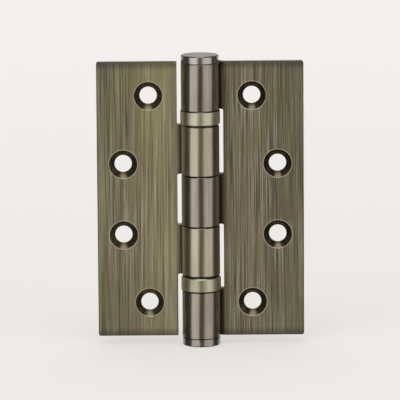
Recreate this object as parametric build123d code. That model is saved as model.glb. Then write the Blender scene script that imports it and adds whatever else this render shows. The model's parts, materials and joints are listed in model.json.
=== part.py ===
from build123d import *
import math
import os

os.makedirs("parts", exist_ok=True)

# All sizes in mm. The pin axis is Z through the origin, at half the leaf height.
# The countersunk faces and the round of the barrel look towards -Y.

# Leaves
leaf_height = 102.0
leaf_reach = 38.0
sheet = 3.0
plate_front = 1.75
notch_edge = 8.5
notch_bevel = 0.4
corner_radius = 0.8
edge_chamfer = 0.3

# Barrel rolled from the leaf sheet
pin_radius = 3.95
pin_clearance = 0.05
bore_radius = pin_radius + pin_clearance
barrel_radius = bore_radius + sheet
swage_start = 9.3
swage_inside_radius = 1.5
seam_angle = 18.0
knuckle_chamfer = 0.22

# Stack along the pin, the same above and below the middle
end_knuckle = 17.5
bearing_zone = 5.7
middle_knuckle = 18.6
knuckle_gap = 0.22

# Screw holes, a zigzag of four in each leaf
inner_column = 19.0
inner_pitch = 77.0
outer_column = 28.4
outer_pitch = 26.4
hole_radius = 3.2
countersink_radius = 5.25
countersink_angle = 90.0

# Button tips
tip_inset = 0.05
tip_radius = barrel_radius - tip_inset
tip_height = 2.9
tip_top_chamfer = 0.3
shank_length = 5.0
shank_fit = 0.01
pin_end_play = 0.1

# Thrust bearing between an end knuckle and the knuckle next to it
shell_overhang = 0.3
shell_wall = 0.6
shell_floor = 1.6
shell_chamfer = 0.25
shell_running_gap = 0.65
race_bore_clearance = 0.2
race_rim_clearance = 0.15
ball_count = 6
ball_bands = 4
ball_sides = 10
ball_play = 0.02
cage_thickness = 0.6
cage_bore_clearance = 0.15
cage_rim_clearance = 0.15
pocket_clearance = 0.06
pocket_wall = 0.165

# Heights that follow from the stack
half_height = leaf_height / 2
end_knuckle_inner = half_height - end_knuckle
bearing_inner = end_knuckle_inner - bearing_zone
middle_top = middle_knuckle / 2
side_bottom = middle_top + knuckle_gap
far = 2 * leaf_height
roll_sweep = 270 + seam_angle
same_size = 0.01


def ring(outer, inner, low, high):
    tube = Cylinder(outer, high - low) - Cylinder(inner, high - low)
    return Pos(0, 0, (low + high) / 2) * tube


def on_circle(centre, radius, degrees):
    turn = math.radians(degrees)
    return (centre[0] + radius * math.cos(turn), centre[1] + radius * math.sin(turn))


# Section of one leaf: plate, swage back to the barrel, and the roll round the pin
def rolled_section():
    plate_back = plate_front + sheet
    tight = swage_inside_radius
    wide = swage_inside_radius + sheet
    step = bore_radius - plate_front
    bend = math.degrees(math.acos(1 - step / (tight + wide)))
    roll_start = swage_start - (tight + wide) * math.sin(math.radians(bend))
    outer_centre = (swage_start, plate_front + wide)
    inner_centre = (roll_start, bore_radius - tight)
    edges = [
        Line((leaf_reach, plate_front), (swage_start, plate_front)),
        CenterArc(outer_centre, wide, -90, -bend),
        CenterArc(inner_centre, tight, 90 - bend, bend),
        Line((roll_start, bore_radius), (0, bore_radius)),
        CenterArc((0, 0), bore_radius, 90, roll_sweep),
        Line(
            on_circle((0, 0), bore_radius, seam_angle),
            on_circle((0, 0), barrel_radius, seam_angle),
        ),
        CenterArc((0, 0), barrel_radius, 90, roll_sweep),
        Line((0, barrel_radius), (roll_start, barrel_radius)),
        CenterArc(inner_centre, wide, 90 - bend, bend),
        CenterArc(outer_centre, tight, -90, -bend),
        Line((swage_start, plate_back), (leaf_reach, plate_back)),
        Line((leaf_reach, plate_back), (leaf_reach, plate_front)),
    ]
    return make_face(Wire(edges))


def screw_cutter():
    opening = math.tan(math.radians(countersink_angle / 2))
    depth = (countersink_radius - hole_radius) / opening
    through = Cylinder(hole_radius, far)
    cone = Pos(0, 0, depth / 2) * Cone(countersink_radius, hole_radius, depth)
    return Rot(-90, 0, 0) * (through + cone)


# Gap in the rolled edge for the other leaf's knuckle, with bevelled inner corners
def notch(low, high):
    outline = Rectangle(far + notch_edge, high - low)
    outline = chamfer(outline.vertices(), notch_bevel)
    outline = Pos((notch_edge - far) / 2, (low + high) / 2) * outline
    return extrude(Plane.XZ * outline, far, both=True)


# Cutter that breaks the outer edge of the roll, where a knuckle runs inward (+1 up, -1 down) from its end
def knuckle_rim(end, inward):
    size = knuckle_chamfer
    corner = make_face(Polyline(
        (barrel_radius - 2 * size, end - inward * size),
        (barrel_radius + size, end - inward * size),
        (barrel_radius + size, end + inward * 2 * size),
        close=True,
    ))
    return Rot(0, 0, 90) * revolve(Plane.XZ * corner, Axis.Z, roll_sweep)


def leaf(notches):
    solid = extrude(rolled_section(), half_height, both=True)
    ends = [(-half_height, 1), (half_height, -1)]
    for low, high in notches:
        solid -= notch(low, high)
        ends += [(low, -1), (high, 1)]
    corners = solid.edges().filter_by(Axis.Y).group_by(Axis.X)[-1]
    solid = fillet(corners, corner_radius)
    rim = solid.faces().filter_by(Plane.XZ).sort_by(Axis.Y)[0].outer_wire().edges()
    rim = [edge for edge in rim if edge.center().X > swage_start + same_size]
    solid = chamfer(rim, edge_chamfer)
    for x, pitch in ((inner_column, inner_pitch), (outer_column, outer_pitch)):
        for z in (-pitch / 2, pitch / 2):
            solid -= Pos(x, plate_front, z) * screw_cutter()
    for end, inward in ends:
        solid -= knuckle_rim(end, inward)
    return solid


def tip():
    disc = Pos(0, 0, tip_height / 2) * Cylinder(tip_radius, tip_height)
    rims = disc.edges().filter_by(GeomType.CIRCLE).sort_by(Axis.Z)
    disc = chamfer(rims[-1], tip_top_chamfer)
    shank = Cylinder(bore_radius - shank_fit, shank_length)
    return disc + Pos(0, 0, -shank_length / 2) * shank


# Bearing pieces stand on the face of the end knuckle and rise towards the next knuckle
shell_radius = barrel_radius + shell_overhang
shell_bore = shell_radius - shell_wall
shell_height = bearing_zone - shell_running_gap
race_bore = pin_radius + race_bore_clearance
race_radius = shell_bore - race_rim_clearance
cage_bore = pin_radius + cage_bore_clearance
cage_rim = shell_bore - cage_rim_clearance

# A ball fills the width between the pin and the shell, less the walls of its pocket
ball_pitch_radius = (cage_bore + cage_rim) / 2
pocket_radius = (cage_rim - cage_bore) / 2 - pocket_wall
ball_radius = pocket_radius - pocket_clearance
ball_height = shell_floor + ball_play + ball_radius
race_face = ball_height + ball_radius + ball_play


# The shell is a cup round the pin, whose floor is the race on the fixed side
def bearing_shell():
    solid = ring(shell_radius, race_bore, 0, shell_height)
    solid -= Pos(0, 0, shell_floor + shell_height / 2) * Cylinder(shell_bore, shell_height)
    round_edges = solid.edges().filter_by(GeomType.CIRCLE)
    rims = [e for e in round_edges if abs(e.radius - shell_radius) < same_size]
    return chamfer(rims, shell_chamfer)


# The running race is a flat washer that stands out of the shell to meet the next knuckle
def running_race():
    return ring(race_radius, race_bore, race_face, bearing_zone)


# A ball has flats between rings of points on its sphere, so that a dozen of them stay light,
# and its pocket in the cage has as many sides
def ball():
    rings = []
    for step in range(ball_bands + 1):
        radius, height = on_circle((0, 0), ball_radius, 180 * (step + 0.5) / (ball_bands + 1) - 90)
        corners = [on_circle((0, 0), radius, 360 * side / ball_sides) for side in range(ball_sides)]
        rings.append([(x, y, height) for x, y in corners])
    flats = [rings[0], rings[-1]]
    for low, high in zip(rings, rings[1:]):
        for side in range(ball_sides):
            flats.append([low[side - 1], low[side], high[side], high[side - 1]])
    return Solid(Shell([Face(Wire.make_polygon(flat)) for flat in flats]))


def ball_seats():
    return PolarLocations(ball_pitch_radius, ball_count)


def cage():
    low = ball_height - cage_thickness / 2
    solid = ring(cage_rim, cage_bore, low, low + cage_thickness)
    pocket = extrude(RegularPolygon(pocket_radius, ball_sides), bearing_zone)
    for seat in ball_seats():
        solid -= seat * pocket
    return solid


def bearing(name, place):
    pieces = {
        name + "_shell": bearing_shell(),
        name + "_door_race": running_race(),
        name + "_cage": cage(),
    }
    for number, seat in enumerate(ball_seats(), 1):
        pieces[name + "_ball_" + str(number)] = Pos(0, 0, ball_height) * seat * ball()
    return {node: place * piece for node, piece in pieces.items()}


# The frame leaf keeps the two end knuckles and the middle one, the door leaf the two between
frame_notches = ((-end_knuckle_inner, -middle_top), (middle_top, end_knuckle_inner))
door_notches = (
    (-far, -bearing_inner),
    (-side_bottom, side_bottom),
    (bearing_inner, far),
)
pin_length = leaf_height - 2 * (shank_length + pin_end_play)

nodes = {
    "frame_leaf": leaf(frame_notches),
    "door_leaf": mirror(leaf(door_notches), Plane.YZ),
    "pin": Cylinder(pin_radius, pin_length),
    "top_tip": Pos(0, 0, half_height) * tip(),
    "bottom_tip": Pos(0, 0, -half_height) * Rot(180, 0, 0) * tip(),
}
nodes |= bearing("upper_bearing", Pos(0, 0, end_knuckle_inner) * Rot(180, 0, 0))
nodes |= bearing("lower_bearing", Pos(0, 0, -end_knuckle_inner))

for node, shape in nodes.items():
    shape.label = node
    export_step(shape, "parts/" + node + ".step")
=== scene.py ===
import bmesh
import bpy
import json
import math
import numpy as np
from mathutils import Matrix, Vector

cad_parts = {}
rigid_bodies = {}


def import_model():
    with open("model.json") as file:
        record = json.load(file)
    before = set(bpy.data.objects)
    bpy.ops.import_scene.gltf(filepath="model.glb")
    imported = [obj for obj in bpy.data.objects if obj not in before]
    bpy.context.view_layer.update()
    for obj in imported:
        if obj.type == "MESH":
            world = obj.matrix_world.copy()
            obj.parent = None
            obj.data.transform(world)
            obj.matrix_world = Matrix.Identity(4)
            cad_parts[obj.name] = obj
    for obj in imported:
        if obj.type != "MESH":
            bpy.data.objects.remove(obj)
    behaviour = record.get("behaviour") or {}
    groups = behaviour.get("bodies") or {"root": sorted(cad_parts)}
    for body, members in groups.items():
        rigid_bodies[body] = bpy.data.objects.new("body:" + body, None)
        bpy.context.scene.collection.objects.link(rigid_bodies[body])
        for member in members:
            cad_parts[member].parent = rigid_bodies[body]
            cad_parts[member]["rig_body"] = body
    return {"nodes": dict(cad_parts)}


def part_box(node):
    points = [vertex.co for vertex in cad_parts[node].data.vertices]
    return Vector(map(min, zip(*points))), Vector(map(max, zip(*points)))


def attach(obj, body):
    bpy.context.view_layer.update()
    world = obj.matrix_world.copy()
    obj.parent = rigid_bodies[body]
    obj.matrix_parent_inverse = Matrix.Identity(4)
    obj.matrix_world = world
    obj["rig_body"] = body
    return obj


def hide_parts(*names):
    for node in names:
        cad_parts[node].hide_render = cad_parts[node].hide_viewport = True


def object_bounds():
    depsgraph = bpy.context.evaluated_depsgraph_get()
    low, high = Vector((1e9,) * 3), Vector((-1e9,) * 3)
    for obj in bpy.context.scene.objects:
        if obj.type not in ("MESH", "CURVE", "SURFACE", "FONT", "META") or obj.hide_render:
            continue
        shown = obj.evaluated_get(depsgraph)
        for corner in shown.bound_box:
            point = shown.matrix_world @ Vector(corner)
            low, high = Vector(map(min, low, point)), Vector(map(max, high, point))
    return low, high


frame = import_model()
nodes = frame["nodes"]
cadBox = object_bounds()
mm = 0.001
perMm = 1000.0  # object coordinates are metres, and the patterns are laid out in mm
print("frame loaded with", len(nodes), "nodes")


# a shader node: an input given as a socket is linked, any other is set
def addNode(tree, kind, inputs=None, **settings):
    node = tree.nodes.new(kind)
    for key, value in settings.items():
        setattr(node, key, value)
    for key, value in (inputs or {}).items():
        if isinstance(value, bpy.types.NodeSocket):
            tree.links.new(value, node.inputs[key])
        else:
            node.inputs[key].default_value = value
    return node


def calc(tree, operation, first, second=0.0, third=0.0):
    inputs = {0: first, 1: second, 2: third}
    return addNode(tree, "ShaderNodeMath", inputs, operation=operation).outputs[0]


def product(tree, first, second):
    return calc(tree, "MULTIPLY", first, second)


def inverse(tree, mask):
    return calc(tree, "SUBTRACT", 1.0, mask)


def vectorCalc(tree, operation, first, second=(0, 0, 0), third=(0, 0, 0)):
    inputs = {0: first, 1: second, 2: third}
    node = addNode(tree, "ShaderNodeVectorMath", inputs, operation=operation)
    return node.outputs["Value" if operation == "LENGTH" else "Vector"]


def fade(tree, value, low, high):  # 0 below low, 1 above high, smooth between
    inputs = {"Value": value, "From Min": low, "From Max": high}
    return addNode(tree, "ShaderNodeMapRange", inputs, interpolation_type="SMOOTHSTEP").outputs["Result"]


def noise(tree, vector, detail, roughness=0.5):
    inputs = {"Vector": vector, "Scale": 1.0, "Detail": detail, "Roughness": roughness}
    return addNode(tree, "ShaderNodeTexNoise", inputs).outputs["Fac"]


def mixColour(tree, factor, first, second, blend="MIX"):  # sockets 6 and 7 are the mix node's colours
    inputs = {0: factor, 6: first, 7: second}
    return addNode(tree, "ShaderNodeMix", inputs, data_type="RGBA", blend_type=blend).outputs[2]


def mixValue(tree, factor, first, second):  # sockets 2 and 3 are the mix node's plain values
    inputs = {0: factor, 2: first, 3: second}
    return addNode(tree, "ShaderNodeMix", inputs, data_type="FLOAT").outputs[0]


# lays a tone over a colour, by a share of a mask
def over(tree, colour, mask, share, tone, blend="MIX"):
    return mixColour(tree, product(tree, mask, share), colour, tone, blend)


def paint(red, green, blue):  # colour as seen on a screen, 0 to 255
    share = np.array((red, green, blue)) / 255
    linear = np.where(share <= 0.04045, share / 12.92, ((share + 0.055) / 1.055) ** 2.4)
    return (*linear, 1.0)


# a node group reads a place, takes sizes with their usual values, and puts out masks
def openGroup(name, sizes):
    group = bpy.data.node_groups.new(name, "ShaderNodeTree")
    group.interface.new_socket("Vector", in_out="INPUT", socket_type="NodeSocketVector")
    for label, usual in sizes.items():
        socket = group.interface.new_socket(label, in_out="INPUT", socket_type="NodeSocketFloat")
        socket.default_value = usual
    return group, group.nodes.new("NodeGroupInput").outputs


def closeGroup(group, masks):
    for label in masks:
        group.interface.new_socket(label, in_out="OUTPUT", socket_type="NodeSocketFloat")
    result = group.nodes.new("NodeGroupOutput")
    for label, mask in masks.items():
        group.links.new(mask, result.inputs[label])
    return group


# noise of one size across and another along Z
def drawnNoise(group, place, across, along, start, detail, roughness=0.5):
    scale = addNode(group, "ShaderNodeCombineXYZ", {0: across, 1: across, 2: along}).outputs[0]
    spot = vectorCalc(group, "MULTIPLY_ADD", place, scale, start)
    return noise(group, spot, detail, roughness)


# brush lines along the pin: wide soft streaks, fine hair lines, dark scratches and bright glints
brushMarks = {
    "sizes": {
        "Wide": 0.55,  # mm across a soft streak
        "Fine": 0.34,  # mm across a hair line
        "Length": 34.0,  # mm along a hair line
    },
    "detail": 3.0, "roughness": 0.6, "hairHeight": 0.7, "streakHeight": 0.3,
    # width, how many go into Length, where the noise starts and the values at which it shows
    "kinds": {
        "Streaks": {"width": "Wide", "perLength": 0.6, "start": (3.1, 0.7, 1.9), "shows": (0.36, 0.64)},
        "Hairs": {"width": "Fine", "perLength": 1.0, "start": (11.3, 5.2, 8.4), "shows": (0.36, 0.64)},
        "Scratches": {"width": "Fine", "perLength": 1.6, "start": (23.7, 15.1, 2.6), "shows": (0.6, 0.7)},
        "Glints": {"width": "Fine", "perLength": 0.9, "start": (37.9, 8.3, 6.2), "shows": (0.6, 0.7)},
    },
}


def makeBrushLines():
    group, given = openGroup("brushLines", brushMarks["sizes"])
    masks = {}
    for label, kind in brushMarks["kinds"].items():
        across = calc(group, "DIVIDE", perMm, given[kind["width"]])
        along = calc(group, "DIVIDE", perMm * kind["perLength"], given["Length"])
        lines = drawnNoise(group, given["Vector"], across, along, kind["start"],
                           brushMarks["detail"], brushMarks["roughness"])
        masks[label] = fade(group, lines, *kind["shows"])
    streakHeight = product(group, masks["Streaks"], brushMarks["streakHeight"])
    masks["Height"] = calc(group, "MULTIPLY_ADD", masks["Hairs"], brushMarks["hairHeight"], streakHeight)
    return closeGroup(group, masks)


# tarnish: two kinds of broad cloud drawn out along the pin, and small round specks
tarnishMarks = {
    "sizes": {
        "Cloud": 6.0,  # mm across a cloud
        "Draw": 3.0,  # length of a cloud over its width
        "Speck": 0.9,  # mm across a speck
    },
    "detail": 3.0,
    "kinds": {
        "Clouds": {"size": "Cloud", "start": (1.7, 4.1, 0.3), "shows": (0.38, 0.64)},
        "Stains": {"size": "Cloud", "start": (9.2, 2.8, 5.5), "shows": (0.44, 0.68)},
        "Specks": {"size": "Speck", "start": (0.4, 7.7, 3.1), "shows": (0.66, 0.78)},
    },
}


def makeTarnish():
    group, given = openGroup("tarnish", tarnishMarks["sizes"])
    masks = {}
    for label, kind in tarnishMarks["kinds"].items():
        across = calc(group, "DIVIDE", perMm, given[kind["size"]])
        along = calc(group, "DIVIDE", across, given["Draw"]) if kind["size"] == "Cloud" else across
        marks = drawnNoise(group, given["Vector"], across, along, kind["start"], tarnishMarks["detail"])
        masks[label] = fade(group, marks, *kind["shows"])
    return closeGroup(group, masks)


# places on a leaf in mm; each pair is where a mask starts and ends its fade
leafPlaces = {
    "holes": ((19.0, 38.5), (28.4, 13.2)),  # from the pin, and from mid height
    "countersink": (5.15, 5.27), "rim": (5.35, 5.59),  # from the middle of a hole
    "face": (1.85, 2.05), "sunken": (1.77, 1.9), "back": (4.55, 4.7),  # towards the back of the plate
    "barrel": (7.1, 7.5),  # from the pin's axis
    "front": (0.5, 1.6), "flank": (4.8, 6.4), "root": (7.9, 10.5), "inner": (15.0, 29.0),  # sideways
    "ends": (47.4, 50.6), "endFaces": (50.67, 50.77), "low": (-34.0, -20.0),  # from mid height
    "joints": (33.5, 9.52, -9.3, -27.8, -33.8), "jointStart": (-0.1, -0.05), "jointEnd": (0.22, 0.34),
}


def makeLeafMasks():
    group, given = openGroup("leafMasks", {})
    apart = addNode(group, "ShaderNodeSeparateXYZ", {0: given["Vector"]})
    wide, y, height = (product(group, apart.outputs[axis], perMm) for axis in range(3))
    x = calc(group, "ABSOLUTE", wide)
    z = calc(group, "ABSOLUTE", height)

    def past(value, place):
        return fade(group, value, *leafPlaces[place])

    def before(value, place):
        return inverse(group, past(value, place))

    def reach(a, b):  # straight distance from two parts
        return calc(group, "SQRT", calc(group, "ADD", product(group, a, a), product(group, b, b)))

    fromHoles = [reach(calc(group, "SUBTRACT", x, holeX), calc(group, "SUBTRACT", z, holeZ))
                 for holeX, holeZ in leafPlaces["holes"]]
    fromHole = calc(group, "MINIMUM", *fromHoles)
    inside = before(fromHole, "countersink")
    deep = calc(group, "SUBTRACT", past(y, "sunken"), past(y, "back"))
    aroundHole = product(group, before(fromHole, "rim"), inverse(group, inside))
    barrel = before(reach(x, y), "barrel")
    joint = 0.0
    for bottom in leafPlaces["joints"]:
        above = calc(group, "SUBTRACT", height, bottom)
        line = calc(group, "SUBTRACT", past(above, "jointStart"), past(above, "jointEnd"))
        joint = calc(group, "MAXIMUM", joint, line)
    return closeGroup(group, {
        "Barrel": barrel,
        "Front": before(x, "front"),
        "Flank": product(group, barrel, past(x, "flank")),
        "Joint": product(group, barrel, joint),
        "Recess": product(group, inside, deep),
        "Rim": product(group, aroundHole, before(y, "face")),
        "Root": product(group, before(x, "root"), inverse(group, barrel)),
        "Inner": before(x, "inner"),
        "Ends": past(z, "ends"),
        "EndFaces": past(z, "endFaces"),
        "Low": before(height, "low"),
    })


brushLines = makeBrushLines()
tarnish = makeTarnish()
leafMasks = makeLeafMasks()
print("shader groups built")


def startMaterial(name, **shader):
    material = bpy.data.materials.new(name)
    material.use_nodes = True
    tree = material.node_tree
    bsdf = tree.nodes["Principled BSDF"]
    for key, value in shader.items():
        bsdf.inputs[key].default_value = value
    place = addNode(tree, "ShaderNodeTexCoord").outputs["Object"]
    return material, tree, bsdf, place


def useGroup(tree, group, vector, sizes=None):
    return addNode(tree, "ShaderNodeGroup", {"Vector": vector, **(sizes or {})}, node_tree=group).outputs


def bumpNormal(tree, height, depth, strength):  # depth in mm
    inputs = {"Height": height, "Distance": depth * mm, "Strength": strength}
    return addNode(tree, "ShaderNodeBump", inputs).outputs["Normal"]


# leaf: brushed plate, smoother rolled barrel with painted reflection and shade, countersinks darkened as
# painted shade, and a worn rim lightened further as a painted highlight
leafFinish = {
    "door_leaf": {
        "dark": paint(113, 107, 85), "middle": paint(145, 138, 112), "light": paint(174, 166, 140),
        # the root tone is painted shade with patina where the plate meets the barrel
        "cloud": paint(143, 140, 96), "stain": paint(141, 127, 105), "rootTone": paint(140, 137, 130),
        "barrel": paint(174, 168, 149), "barrelLow": paint(171, 164, 145),
        # the barrel's front tone is a painted dark reflection
        "barrelDark": paint(149, 140, 120), "barrelFront": paint(149, 135, 109),
        # root is a share of painted shade with patina, inner of painted sheen, and far of painted shade
        "polish": 0.23, "root": 0.5, "inner": 0.57, "low": 0.2, "far": 0.6,
        "side": -1, "shift": (0.013, 0.0, 0.004),
    },
    "frame_leaf": {
        "dark": paint(87, 80, 67), "middle": paint(135, 127, 107), "light": paint(178, 169, 149),
        # the root tone is painted shade with patina where the plate meets the barrel
        "cloud": paint(130, 125, 90), "stain": paint(126, 113, 94), "rootTone": paint(46, 44, 37),
        "barrel": paint(159, 151, 142), "barrelLow": paint(157, 150, 132),
        # the barrel's front tone is a painted dark reflection
        "barrelDark": paint(137, 128, 118), "barrelFront": paint(123, 113, 94),
        # root is a share of painted shade with patina, inner of painted sheen, and far of painted shade
        "polish": 0.19, "root": 0.75, "inner": 0.22, "low": 0.0, "far": 0.4,
        "side": 1, "shift": (0.041, 0.007, 0.029),
    },
}

# wear and painted light that both leaves share: shares of a mask, and the tone that it brings; the barrel's
# front, flank and far-side tones, the countersink and rim tones and the light tone near the barrel are
# painted reflection, shade, highlight and sheen
leafWearAndLight = {
    "streaks": 0.35, "hairs": 0.65, "ramp": (0.1, 0.5, 0.9), "clouds": 0.6, "stains": 0.5,
    "scratches": (0.45, paint(70, 61, 48)), "glints": (0.45, paint(195, 190, 157)),
    # the light tone near the barrel is a painted sheen
    "innerLight": paint(255, 251, 243), "lowTone": paint(104, 97, 75),
    "ends": (0.6, paint(80, 79, 72)), "endFaces": (0.75, paint(43, 40, 34)),
    "barrelStreaks": 0.5, "barrelClouds": 0.4, "barrelFront": 0.7,
    # the flank tone is a painted reflection, and the far-side tone a painted shade, on the barrel
    "flank": (0.7, paint(128, 130, 125)), "farFlank": (4.4, 5.6), "farTone": paint(87, 85, 73),
    "joint": (0.9, paint(32, 27, 20)), "specks": (0.25, paint(58, 53, 41)),
    # the countersink tone is painted shade, and the rim tone a worn rim lightened further as a painted
    # highlight
    "recess": (0.7, paint(94, 85, 68)), "rim": (0.9, paint(212, 205, 178)),
    "rough": 0.33, "roughHairs": 0.12, "polishHairs": 0.06,
    "bumpDepth": 0.03, "bumpStrength": 0.5, "smoothBump": -0.9,
}


def leafMaterial(name, finish):
    material, tree, bsdf, place = startMaterial(name + "_finish", Metallic=1.0)
    layers = leafWearAndLight
    moved = vectorCalc(tree, "ADD", place, finish["shift"])
    lines = useGroup(tree, brushLines, moved)
    aged = useGroup(tree, tarnish, moved)
    masks = useGroup(tree, leafMasks, place)

    tone = calc(tree, "MULTIPLY_ADD", lines["Streaks"], layers["streaks"],
                product(tree, lines["Hairs"], layers["hairs"]))
    ramp = addNode(tree, "ShaderNodeValToRGB", {0: tone})
    stops = ramp.color_ramp.elements
    stops[0].position, middle, stops[1].position = layers["ramp"]
    stops[0].color = finish["dark"]
    stops[1].color = finish["light"]
    stops.new(middle).color = finish["middle"]
    plate = over(tree, ramp.outputs[0], aged["Clouds"], layers["clouds"], finish["cloud"])
    plate = over(tree, plate, aged["Stains"], layers["stains"], finish["stain"])
    plate = over(tree, plate, lines["Scratches"], *layers["scratches"])
    plate = over(tree, plate, lines["Glints"], *layers["glints"])
    # painted sheen: the plate is lightened towards the barrel
    plate = over(tree, plate, masks["Inner"], finish["inner"], layers["innerLight"], "SOFT_LIGHT")
    plate = over(tree, plate, masks["Low"], finish["low"], layers["lowTone"])
    plate = over(tree, plate, masks["Ends"], *layers["ends"])
    plate = over(tree, plate, masks["EndFaces"], *layers["endFaces"])
    # painted shade with patina along the plate's root beside the barrel
    plate = over(tree, plate, masks["Root"], finish["root"], finish["rootTone"])

    barrelTone = calc(tree, "MULTIPLY_ADD", lines["Streaks"], layers["barrelStreaks"],
                      product(tree, aged["Clouds"], layers["barrelClouds"]))
    barrelLight = mixColour(tree, masks["Low"], finish["barrel"], finish["barrelLow"])
    barrel = mixColour(tree, barrelTone, finish["barrelDark"], barrelLight)
    # painted reflection: a darker band down the barrel's front
    barrel = over(tree, barrel, masks["Front"], layers["barrelFront"], finish["barrelFront"])
    # painted reflection: the barrel's flanks are greyed and darkened
    barrel = over(tree, barrel, masks["Flank"], *layers["flank"])
    # painted shade on the flank of the barrel away from the plate
    sideways = addNode(tree, "ShaderNodeSeparateXYZ", {0: place}).outputs[0]
    fromPlate = product(tree, sideways, -finish["side"] * perMm)
    shadedFarSide = fade(tree, fromPlate, *layers["farFlank"])
    barrel = over(tree, barrel, shadedFarSide, finish["far"], layers["farTone"])
    barrel = over(tree, barrel, masks["Joint"], *layers["joint"])

    colour = mixColour(tree, masks["Barrel"], plate, barrel)
    colour = over(tree, colour, aged["Specks"], *layers["specks"])
    # painted shade in the countersinks
    colour = over(tree, colour, masks["Recess"], *layers["recess"])
    # the worn rim round each countersink, lightened further as a painted highlight
    colour = over(tree, colour, masks["Rim"], *layers["rim"])
    tree.links.new(colour, bsdf.inputs["Base Color"])

    rough = calc(tree, "MULTIPLY_ADD", lines["Hairs"], layers["roughHairs"], layers["rough"])
    polish = calc(tree, "MULTIPLY_ADD", lines["Hairs"], layers["polishHairs"], finish["polish"])
    smooth = calc(tree, "MAXIMUM", masks["Barrel"], masks["Recess"])
    tree.links.new(mixValue(tree, smooth, rough, polish), bsdf.inputs["Roughness"])
    height = product(tree, lines["Height"], calc(tree, "MULTIPLY_ADD", smooth, layers["smoothBump"], 1.0))
    tree.links.new(bumpNormal(tree, height, layers["bumpDepth"], layers["bumpStrength"]), bsdf.inputs["Normal"])
    return material


# button tip and bearing shell: turned metal with faint lines, a little tarnish, and painted shade and
# highlight lines at their edges
# edges are heights from mid height with a share and colour, and start at edgeRadius, all in mm; the dark
# edges are painted shade and the bright edge a painted highlight
paintedShadeEdge, paintedHighlightEdge = (0.75, paint(73, 68, 60)), (0.6, paint(222, 216, 196))
turnedFinish = {
    "tip": {
        "dark": paint(157, 151, 146), "light": paint(177, 171, 167), "rough": 0.15, "lowerDull": 0.45,
        "edgeRadius": 6.6, "edges": {"foot": (51.0, 51.25, paintedShadeEdge), "top": (53.6, 53.95, paintedShadeEdge)},
    },
    "shell": {
        "dark": paint(162, 156, 135), "light": paint(190, 184, 164), "rough": 0.3, "lowerDull": 0.03,
        "edgeRadius": 7.0, "edges": {"fixed": (33.25, 33.5, paintedShadeEdge), "running": (28.45, 28.7, paintedHighlightEdge)},
    },
}
turnedWear = {
    "lines": {"Wide": 1.8, "Fine": 0.3, "Length": 40.0}, "tarnish": {"Cloud": 5.0, "Draw": 1.5, "Speck": 0.5},
    "streaks": 0.6, "clouds": 0.4, "specks": (0.2, paint(80, 73, 61)), "lowerTone": paint(101, 92, 80),
    "edgeSoft": 0.06, "roughHairs": 0.08, "bumpDepth": 0.01, "bumpStrength": 0.2,
}


def turnedMaterial(name, finish):
    material, tree, bsdf, place = startMaterial(name + "_finish", Metallic=1.0)
    layers, soft = turnedWear, turnedWear["edgeSoft"]
    lines = useGroup(tree, brushLines, place, layers["lines"])
    aged = useGroup(tree, tarnish, place, layers["tarnish"])
    tone = calc(tree, "MULTIPLY_ADD", lines["Streaks"], layers["streaks"],
                product(tree, aged["Clouds"], layers["clouds"]))
    colour = mixColour(tree, tone, finish["dark"], finish["light"])
    colour = over(tree, colour, aged["Specks"], *layers["specks"])
    # the parts below mid height are darker
    level = addNode(tree, "ShaderNodeSeparateXYZ", {0: place}).outputs[2]
    lower = calc(tree, "LESS_THAN", level, 0.0)
    colour = over(tree, colour, lower, finish["lowerDull"], layers["lowerTone"])
    height = product(tree, calc(tree, "ABSOLUTE", level), perMm)
    flat = vectorCalc(tree, "MULTIPLY", place, (perMm, perMm, 0))
    outside = fade(tree, vectorCalc(tree, "LENGTH", flat), finish["edgeRadius"], finish["edgeRadius"] + soft)
    # painted shade and highlight lines round the turned edges
    for low, high, edge in finish["edges"].values():
        started, ended = fade(tree, height, low - soft, low), fade(tree, height, high, high + soft)
        band = calc(tree, "SUBTRACT", started, ended)
        colour = over(tree, colour, product(tree, band, outside), *edge)
    tree.links.new(colour, bsdf.inputs["Base Color"])
    rough = calc(tree, "MULTIPLY_ADD", lines["Hairs"], layers["roughHairs"], finish["rough"])
    tree.links.new(rough, bsdf.inputs["Roughness"])
    normal = bumpNormal(tree, lines["Height"], layers["bumpDepth"], layers["bumpStrength"])
    tree.links.new(normal, bsdf.inputs["Normal"])
    return material


# pin, races, balls and cage: ground steel and pressed brass, seldom seen
innerFinish = {
    "steel": {"dark": paint(149, 149, 150), "light": paint(180, 180, 181), "rough": 0.14},
    "race": {"dark": paint(39, 37, 32), "light": paint(65, 61, 55), "rough": 0.3},  # black with grease
    "pin": {"dark": paint(126, 126, 126), "light": paint(157, 157, 156), "rough": 0.25},
    "cage": {"dark": paint(144, 120, 70), "light": paint(181, 157, 104), "rough": 0.28},
}
innerWear = {
    "tarnish": {"Cloud": 3.0, "Draw": 1.0, "Speck": 0.4},
    "specks": (0.3, paint(75, 70, 63)), "roughSpecks": 0.15,
}


def innerMaterial(name, finish):
    material, tree, bsdf, place = startMaterial(name + "_finish", Metallic=1.0)
    aged = useGroup(tree, tarnish, place, innerWear["tarnish"])
    colour = mixColour(tree, aged["Clouds"], finish["dark"], finish["light"])
    colour = over(tree, colour, aged["Specks"], *innerWear["specks"])
    tree.links.new(colour, bsdf.inputs["Base Color"])
    rough = calc(tree, "MULTIPLY_ADD", aged["Specks"], innerWear["roughSpecks"], finish["rough"])
    tree.links.new(rough, bsdf.inputs["Roughness"])
    return material


materials = {name: leafMaterial(name, finish) for name, finish in leafFinish.items()}
materials |= {name: turnedMaterial(name, finish) for name, finish in turnedFinish.items()}
materials |= {name: innerMaterial(name, finish) for name, finish in innerFinish.items()}
print("materials built:", ", ".join(materials))


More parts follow.
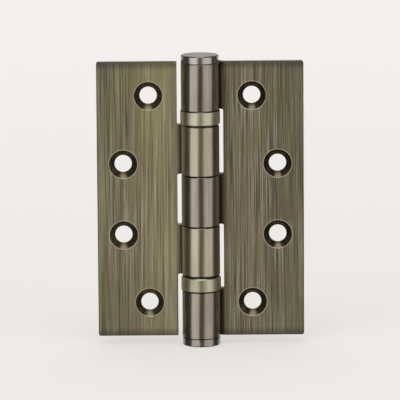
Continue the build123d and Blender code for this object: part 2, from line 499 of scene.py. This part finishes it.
def addPiece(nodeName, ending, mesh, material):
    mesh.polygons.foreach_set("use_smooth", np.ones(len(mesh.polygons), bool))
    mesh.materials.clear()
    mesh.materials.append(material)
    piece = bpy.data.objects.new(nodeName + ending, mesh)
    bpy.context.scene.collection.objects.link(piece)
    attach(piece, nodes[nodeName]["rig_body"])
    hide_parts(nodeName)
    return piece


# smooth copy of a CAD node: doubles merged, hard edges kept, flat faces ruling the normals
smoothing = {"merge": 0.002, "sharpDegrees": 28}


def smoothCopy(nodeName, material):
    mesh = nodes[nodeName].data.copy()
    if "custom_normal" in mesh.attributes:
        mesh.attributes.remove(mesh.attributes["custom_normal"])
    work = bmesh.new()
    work.from_mesh(mesh)
    bmesh.ops.remove_doubles(work, verts=work.verts, dist=smoothing["merge"] * mm)
    work.to_mesh(mesh)
    work.free()
    piece = addPiece(nodeName, "_finish", mesh, material)
    mesh.set_sharp_from_angle(angle=math.radians(smoothing["sharpDegrees"]))
    weighted = piece.modifiers.new("faceNormals", "WEIGHTED_NORMAL")
    weighted.keep_sharp = True
    return piece


for leafName in leafFinish:
    smoothCopy(leafName, materials[leafName])
for tipName in ("top_tip", "bottom_tip"):
    smoothCopy(tipName, materials["tip"])
for shellName in ("upper_bearing_shell", "lower_bearing_shell"):
    smoothCopy(shellName, materials["shell"])
smoothCopy("pin", materials["pin"])
print("leaves, tips, shells and pin dressed")


# bearing ball: the sphere (sin fall cos turn, sin fall sin turn, cos fall) on a grid of falls and turns,
# as wide as the CAD ball's farthest corner, with a single point at each pole
ballShape = {"turns": 36, "steps": 18}


def smoothBall(nodeName, material):
    low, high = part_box(nodeName)
    centre = np.array((low + high) / 2)
    vertices = nodes[nodeName].data.vertices
    corners = np.empty(len(vertices) * 3, np.float32)
    vertices.foreach_get("co", corners)
    radius = np.linalg.norm(corners.reshape(-1, 3).astype(float) - centre, axis=1).max()
    turns, steps = ballShape["turns"], ballShape["steps"]
    turn = np.arange(turns) * 2 * math.pi / turns
    fall = (np.arange(1, steps) * math.pi / steps)[:, None]
    grid = np.broadcast_arrays(np.sin(fall) * np.cos(turn), np.sin(fall) * np.sin(turn), np.cos(fall))
    rings = np.stack(grid, -1).reshape(-1, 3)
    points = np.vstack(((0, 0, 1), rings, (0, 0, -1))) * radius + centre
    ring = np.arange(turns)
    nextOne = (ring + 1) % turns
    start = 1 + np.arange(steps - 2)[:, None] * turns
    below = start + turns
    quads = np.stack((start + ring, below + ring, below + nextOne, start + nextOne), -1).reshape(-1, 4)
    last = 1 + (steps - 2) * turns
    topFan = np.stack((np.zeros(turns, int), 1 + ring, 1 + nextOne), -1)
    bottomFan = np.stack((np.full(turns, len(points) - 1), last + nextOne, last + ring), -1)
    mesh = bpy.data.meshes.new(nodeName + "_round")
    mesh.from_pydata(points.tolist(), [], quads.tolist() + topFan.tolist() + bottomFan.tolist())
    return addPiece(nodeName, "_round", mesh, material)


for nodeName in sorted(nodes):
    if "_ball_" in nodeName:
        smoothBall(nodeName, materials["steel"])
    elif nodeName.endswith("_race"):
        smoothCopy(nodeName, materials["race"])
    elif nodeName.endswith("_cage"):
        smoothCopy(nodeName, materials["cage"])
print("bearing insides dressed")


# stage: a pale floor, which the metal's reflections pass so that they see the room's soft lights
# half, nearEdge and farEdge in metres, drop in mm
stage = {
    # the near and far colours paint the floor a little darker close to the object, a painted shade
    "half": 30.0, "drop": 0.05, "near": paint(235, 233, 229), "far": paint(241, 239, 236),
    "nearEdge": 0.05, "farEdge": 1.1, "ownLight": 0.65, "roughness": 0.9,
}


def floorMaterial():
    material, tree, bsdf, place = startMaterial("paleFloor", Roughness=stage["roughness"])
    bsdf.inputs["Specular IOR Level"].default_value = 0.0
    # painted shade: the floor is a little darker near the object
    away = fade(tree, vectorCalc(tree, "LENGTH", place), stage["nearEdge"], stage["farEdge"])
    colour = mixColour(tree, away, stage["near"], stage["far"])
    tree.links.new(mixColour(tree, stage["ownLight"], colour, (0, 0, 0, 1)), bsdf.inputs["Base Color"])
    tree.links.new(colour, bsdf.inputs["Emission Color"])
    seen = addNode(tree, "ShaderNodeLightPath").outputs["Is Camera Ray"]
    tree.links.new(product(tree, seen, stage["ownLight"]), bsdf.inputs["Emission Strength"])
    return material


def makeFloor():
    half, level = stage["half"], cadBox[0][2] - stage["drop"] * mm
    corners = [(-half, -half, level), (half, -half, level), (half, half, level), (-half, half, level)]
    mesh = bpy.data.meshes.new("floor")
    mesh.from_pydata(corners, [], [(0, 1, 2, 3)])
    mesh.materials.append(floorMaterial())
    floor = bpy.data.objects.new("floor", mesh)
    floor.visible_glossy = False
    bpy.context.scene.collection.objects.link(floor)


makeFloor()

# room: two soft panels beside the camera with a dim one between, one overhead and a pale wall behind
# turn is degrees round Z from the camera's side, positive to the right, and rise is degrees above level
room = {
    "dim": 0.1, "seen": 1.03, "colour": (1.0, 0.993, 0.98, 1.0), "riseSoft": 14,
    "panels": {
        "left": {"turn": (-64, -13), "rise": (-62, 40), "soft": 8, "light": 1.39},
        "near": {"turn": (-15, 20), "rise": (-62, 40), "soft": 8, "light": 0.22},
        "right": {"turn": (18, 76), "rise": (-62, 40), "soft": 16, "light": 1.1},
        "wall": {"turn": (122, 238), "rise": (-2, 60), "soft": 26, "light": 0.5},
        "wallFoot": {"turn": (122, 238), "rise": (-70, -2), "soft": 26, "light": 0.75},
    },
    "overhead": {"side": (-16, 16), "depth": (-35, 40), "soft": 10, "light": 2.0},
}


def makeRoom():
    world = bpy.data.worlds.new("room")
    bpy.context.scene.world = world
    world.use_nodes = True
    tree = world.node_tree
    look = addNode(tree, "ShaderNodeTexCoord").outputs["Generated"]
    x, y, z = addNode(tree, "ShaderNodeSeparateXYZ", {0: look}).outputs

    def angle(operation, first, second=0.0):  # in degrees
        return product(tree, calc(tree, operation, first, second), math.degrees(1))

    def between(value, low, high, soft):
        rising = fade(tree, value, low - soft / 2, low + soft / 2)
        falling = fade(tree, value, high - soft / 2, high + soft / 2)
        return calc(tree, "SUBTRACT", rising, falling)

    turn = angle("ARCTAN2", x, product(tree, y, -1.0))
    fullTurn = calc(tree, "MULTIPLY_ADD", calc(tree, "LESS_THAN", turn, 0.0), 360.0, turn)  # 0 to 360
    rise = angle("ARCSINE", z)
    light = 0.0
    for panel in room["panels"].values():
        around = fullTurn if panel["turn"][1] > 180 else turn
        mask = product(tree, between(around, *panel["turn"], panel["soft"]),
                       between(rise, *panel["rise"], room["riseSoft"]))
        light = calc(tree, "ADD", light, product(tree, mask, panel["light"]))
    lid = room["overhead"]
    mask = product(tree, between(angle("ARCTAN2", x, z), *lid["side"], lid["soft"]),
                   between(angle("ARCTAN2", y, z), *lid["depth"], lid["soft"]))
    light = calc(tree, "MAXIMUM", light, product(tree, mask, lid["light"]))
    light = calc(tree, "MAXIMUM", light, room["dim"])
    seen = addNode(tree, "ShaderNodeLightPath").outputs["Is Camera Ray"]
    background = tree.nodes["Background"]
    tree.links.new(mixColour(tree, seen, room["colour"], stage["far"]), background.inputs["Color"])
    tree.links.new(mixValue(tree, seen, light, room["seen"]), background.inputs["Strength"])


makeRoom()

# soft lamps for the floor and its shadow: pitch from overhead and turn round Z, in degrees
lamps = {
    "leftKey": {"power": 0.4, "spread": 50, "pitch": 48, "turn": -38},
    "rightFill": {"power": 0.3, "spread": 60, "pitch": 55, "turn": 46},
    "topFill": {"power": 0.72, "spread": 60, "pitch": 8, "turn": 0},
}
for name, lamp in lamps.items():
    sunLight = bpy.data.lights.new(name, "SUN")
    sunLight.energy = lamp["power"]
    sunLight.angle = math.radians(lamp["spread"])
    sun = bpy.data.objects.new(name, sunLight)
    sun.rotation_euler = (math.radians(lamp["pitch"]), 0, math.radians(lamp["turn"]))
    sun.visible_glossy = False
    bpy.context.scene.collection.objects.link(sun)
print("stage set")

# camera: seen from a little above, with the slight lean of the picture
shot = {
    "distance": 1.6, "turn": -0.28, "rise": 9.5, "lean": -0.41, "aim": (-0.00024, 0.0, 0.0),
    "focalPixels": 4351.0, "picturePixels": 400, "sensor": 36.0, "clip": (0.05, 100.0),
}


def placeCamera():
    turn, rise, lean = (math.radians(shot[key]) for key in ("turn", "rise", "lean"))
    away = Vector((math.sin(turn) * math.cos(rise), -math.cos(turn) * math.cos(rise), math.sin(rise)))
    right = (-away).cross(Vector((0, 0, 1))).normalized()
    up = right.cross(-away)
    leanRight = right * math.cos(lean) + up * math.sin(lean)
    leanUp = up * math.cos(lean) - right * math.sin(lean)
    spot = Vector(shot["aim"]) + away * shot["distance"]
    data = bpy.data.cameras.new("shot")
    data.sensor_width = shot["sensor"]
    data.lens = shot["sensor"] * shot["focalPixels"] / shot["picturePixels"]
    data.clip_start, data.clip_end = shot["clip"]
    camera = bpy.data.objects.new("shot", data)
    facing = Matrix((leanRight, leanUp, away)).transposed().to_4x4()
    camera.matrix_world = Matrix.Translation(spot) @ facing
    bpy.context.scene.collection.objects.link(camera)
    bpy.context.scene.camera = camera


placeCamera()
bpy.context.scene.view_settings.view_transform = "Standard"
print("camera placed")
